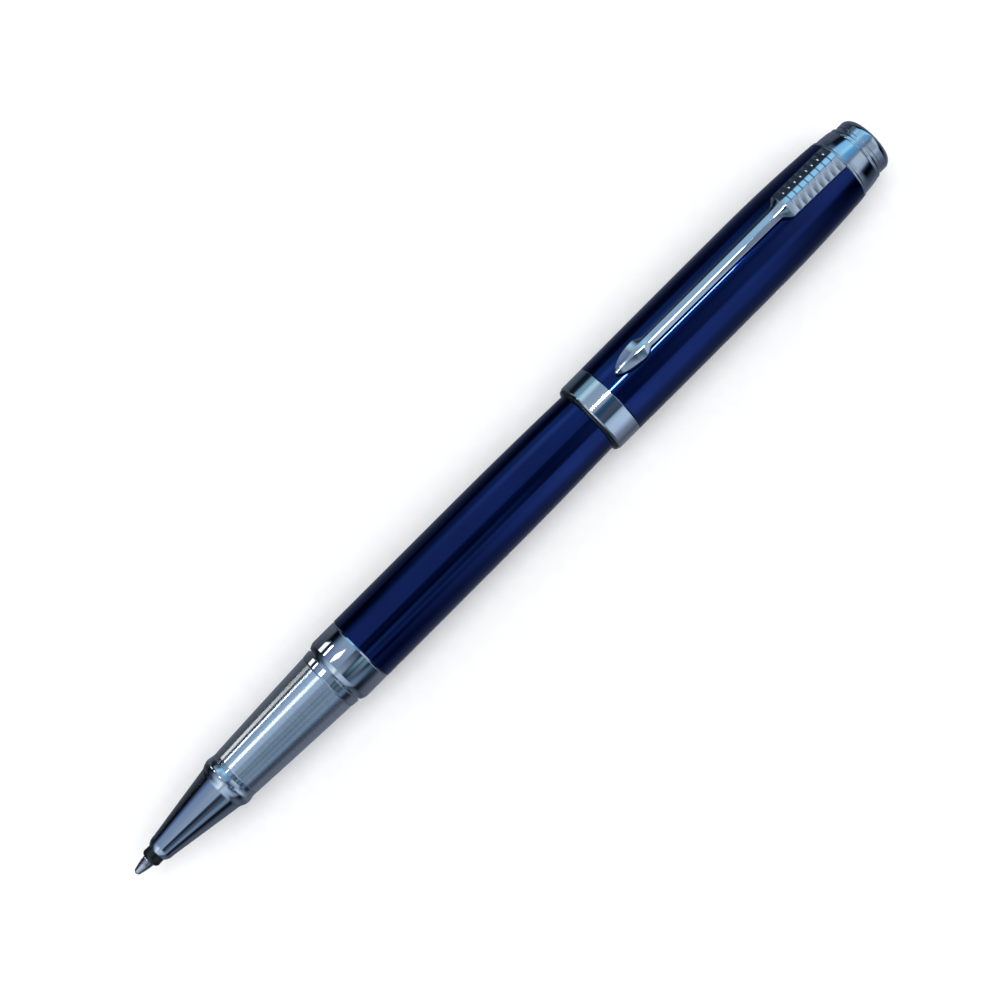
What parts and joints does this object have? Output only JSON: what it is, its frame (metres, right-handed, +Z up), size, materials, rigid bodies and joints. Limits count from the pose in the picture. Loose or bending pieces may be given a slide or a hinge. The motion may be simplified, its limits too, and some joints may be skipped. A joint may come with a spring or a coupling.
{
  "type": "rollerball pen",
  "caption": "Capped metal rollerball pen with lacquered barrel and cap, brushed grip, chrome trim and a sprung pocket clip, its cap posted on the barrel's rear.",
  "frame": {"origin": "under the middle of the posted pen's length, on the surface it lies on", "axes": "+X along the pen from writing ball to crown, +Z up through the pocket clip"},
  "size_m": [0.154, 0.0126, 0.0143],
  "materials": {
    "navy_lacquer": "high gloss lacquer over brass",
    "chrome": "mirror polished plating",
    "brushed_steel": "lengthwise satin brushing",
    "black_plastic": "moulded, semi gloss",
    "brass": "turned, unpolished",
    "nickel_silver": "fine turned",
    "refill_steel": "drawn tube",
    "spring_steel": "drawn wire",
    "carbide": "polished",
    "fibre": "ink-soaked bonded fibre",
    "natural_plastic": "moulded"
  },
  "bodies": {
    "barrel": {"barrel_tube": "navy_lacquer", "barrel_front_ring": "chrome", "barrel_bush": "brass", "barrel_end_cap": "chrome"},
    "spring": {"refill_spring": "spring_steel"},
    "trim_ring": {"section_ring": "chrome"},
    "section": {"nose_cone": "chrome", "grip_sleeve": "brushed_steel", "section_liner": "brass"},
    "refill": {"refill_point": "nickel_silver", "refill_collar": "black_plastic", "refill_tube": "refill_steel", "feed_rod": "fibre", "ink_reservoir": "fibre", "refill_end_plug": "natural_plastic"},
    "ball": {"writing_ball": "carbide"},
    "cap_liner": {"inner_cap": "black_plastic"},
    "cap": {"cap_tube": "navy_lacquer", "cap_band": "chrome", "clip_retainer": "brass", "crown_base": "chrome", "crown_finial": "chrome", "cap_screw": "refill_steel"},
    "clip": {"clip": "chrome"}
  },
  "joints": [
    {"name": "section_advance", "type": "slide", "parent": "barrel", "child": "spring", "axis": [-1, 0, 0], "range_m": [0, 0.0036], "deforming": ["refill_spring"]},
    {"name": "section_draw", "type": "slide", "parent": "spring", "child": "trim_ring", "axis": [-1, 0, 0], "range_m": [0, 0.084]},
    {"name": "section_turn", "type": "hinge", "parent": "trim_ring", "child": "section", "pos_m": [-0.036, 0, 0.00629], "axis": [1, 0, 0], "range_deg": [0, 2160]},
    {"name": "refill_press", "type": "slide", "parent": "section", "child": "refill", "axis": [1, 0, 0], "range_m": [0, 0.0008], "stiffness_N_per_m": 2500, "springref_m": -0.0006, "deforming": ["refill_spring"]},
    {"name": "ball_roll", "type": "hinge", "parent": "refill", "child": "ball", "pos_m": [-0.07662, 0, 0.00629], "axis": [0, 1, 0], "continuous": true},
    {"name": "cap_pull", "type": "slide", "parent": "barrel", "child": "cap_liner", "axis": [1, 0, 0], "range_m": [0, 0.06]},
    {"name": "cap_turn", "type": "hinge", "parent": "cap_liner", "child": "cap", "pos_m": [0.033, 0, 0.00629], "axis": [1, 0, 0], "continuous": true},
    {"name": "clip_flex", "type": "hinge", "parent": "cap", "child": "clip", "pos_m": [0.06905, 0, 0.01179], "axis": [0, 1, 0], "range_deg": [0, 4], "stiffness_Nm_per_rad": 4, "springref_deg": -1.15}
  ],
  "couplings": [
    {"joint": "section_turn", "follows": "section_advance", "rad_per_m": 10471}
  ]
}
